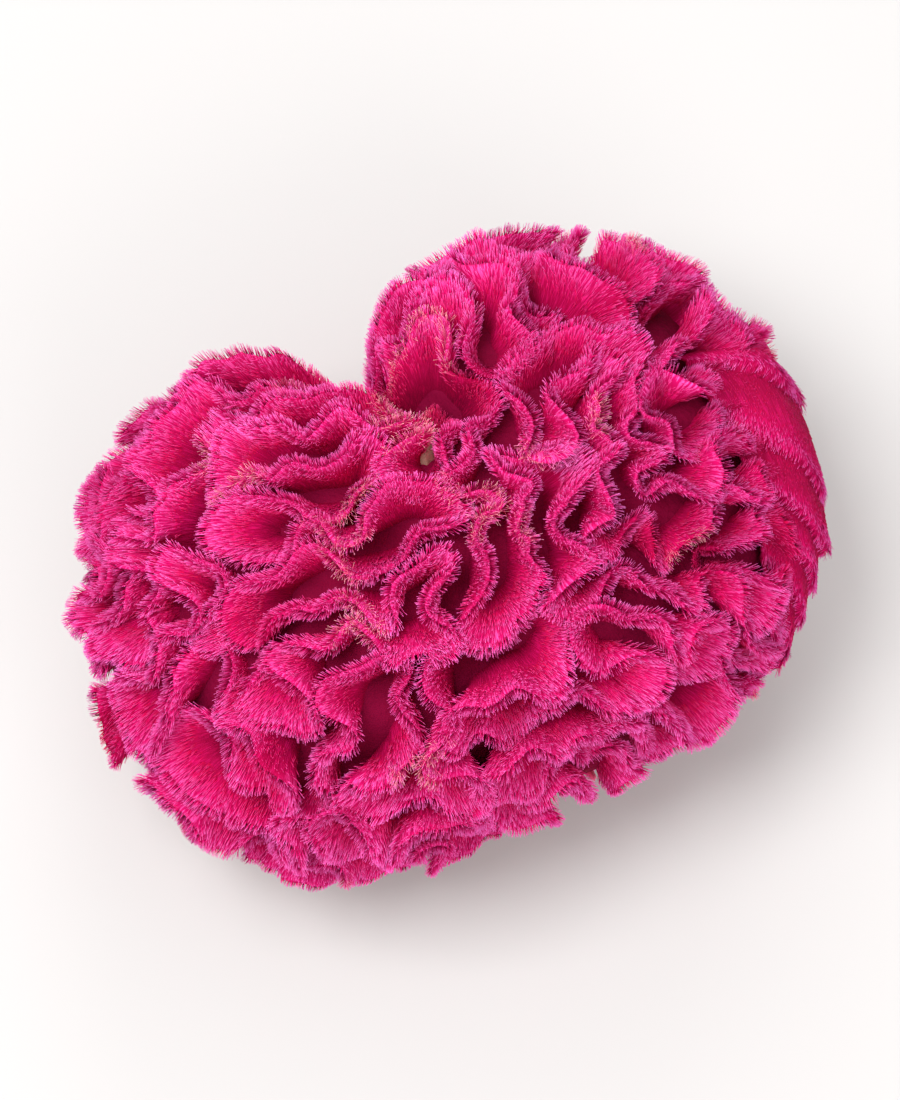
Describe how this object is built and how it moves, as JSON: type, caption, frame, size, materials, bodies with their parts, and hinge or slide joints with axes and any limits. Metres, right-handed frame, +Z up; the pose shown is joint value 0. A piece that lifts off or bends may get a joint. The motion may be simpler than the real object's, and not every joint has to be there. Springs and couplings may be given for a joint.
{
  "type": "cockscomb celosia flower head",
  "caption": "Picked cockscomb celosia: a broad kidney-shaped crest of deep velvety folds that stands on its short, ribbed cut stalk.",
  "frame": {"origin": "on the surface that the cut end of the stalk stands on, under the middle of the whole head", "axes": "+Z up along the stalk, +X to the right along the head's longest side, +Y away from the side with the low round lobe"},
  "size_m": [0.2044, 0.1796, 0.1076],
  "materials": {
    "crest": "velvety magenta plush, darker crimson in the folds, paler pink and cream tips",
    "stalk": "fresh green stalk with pale ribs, under straw and pink papery florets"
  },
  "bodies": {
    "root": {"crest": "crest", "stalk": "stalk"}
  },
  "joints": []
}
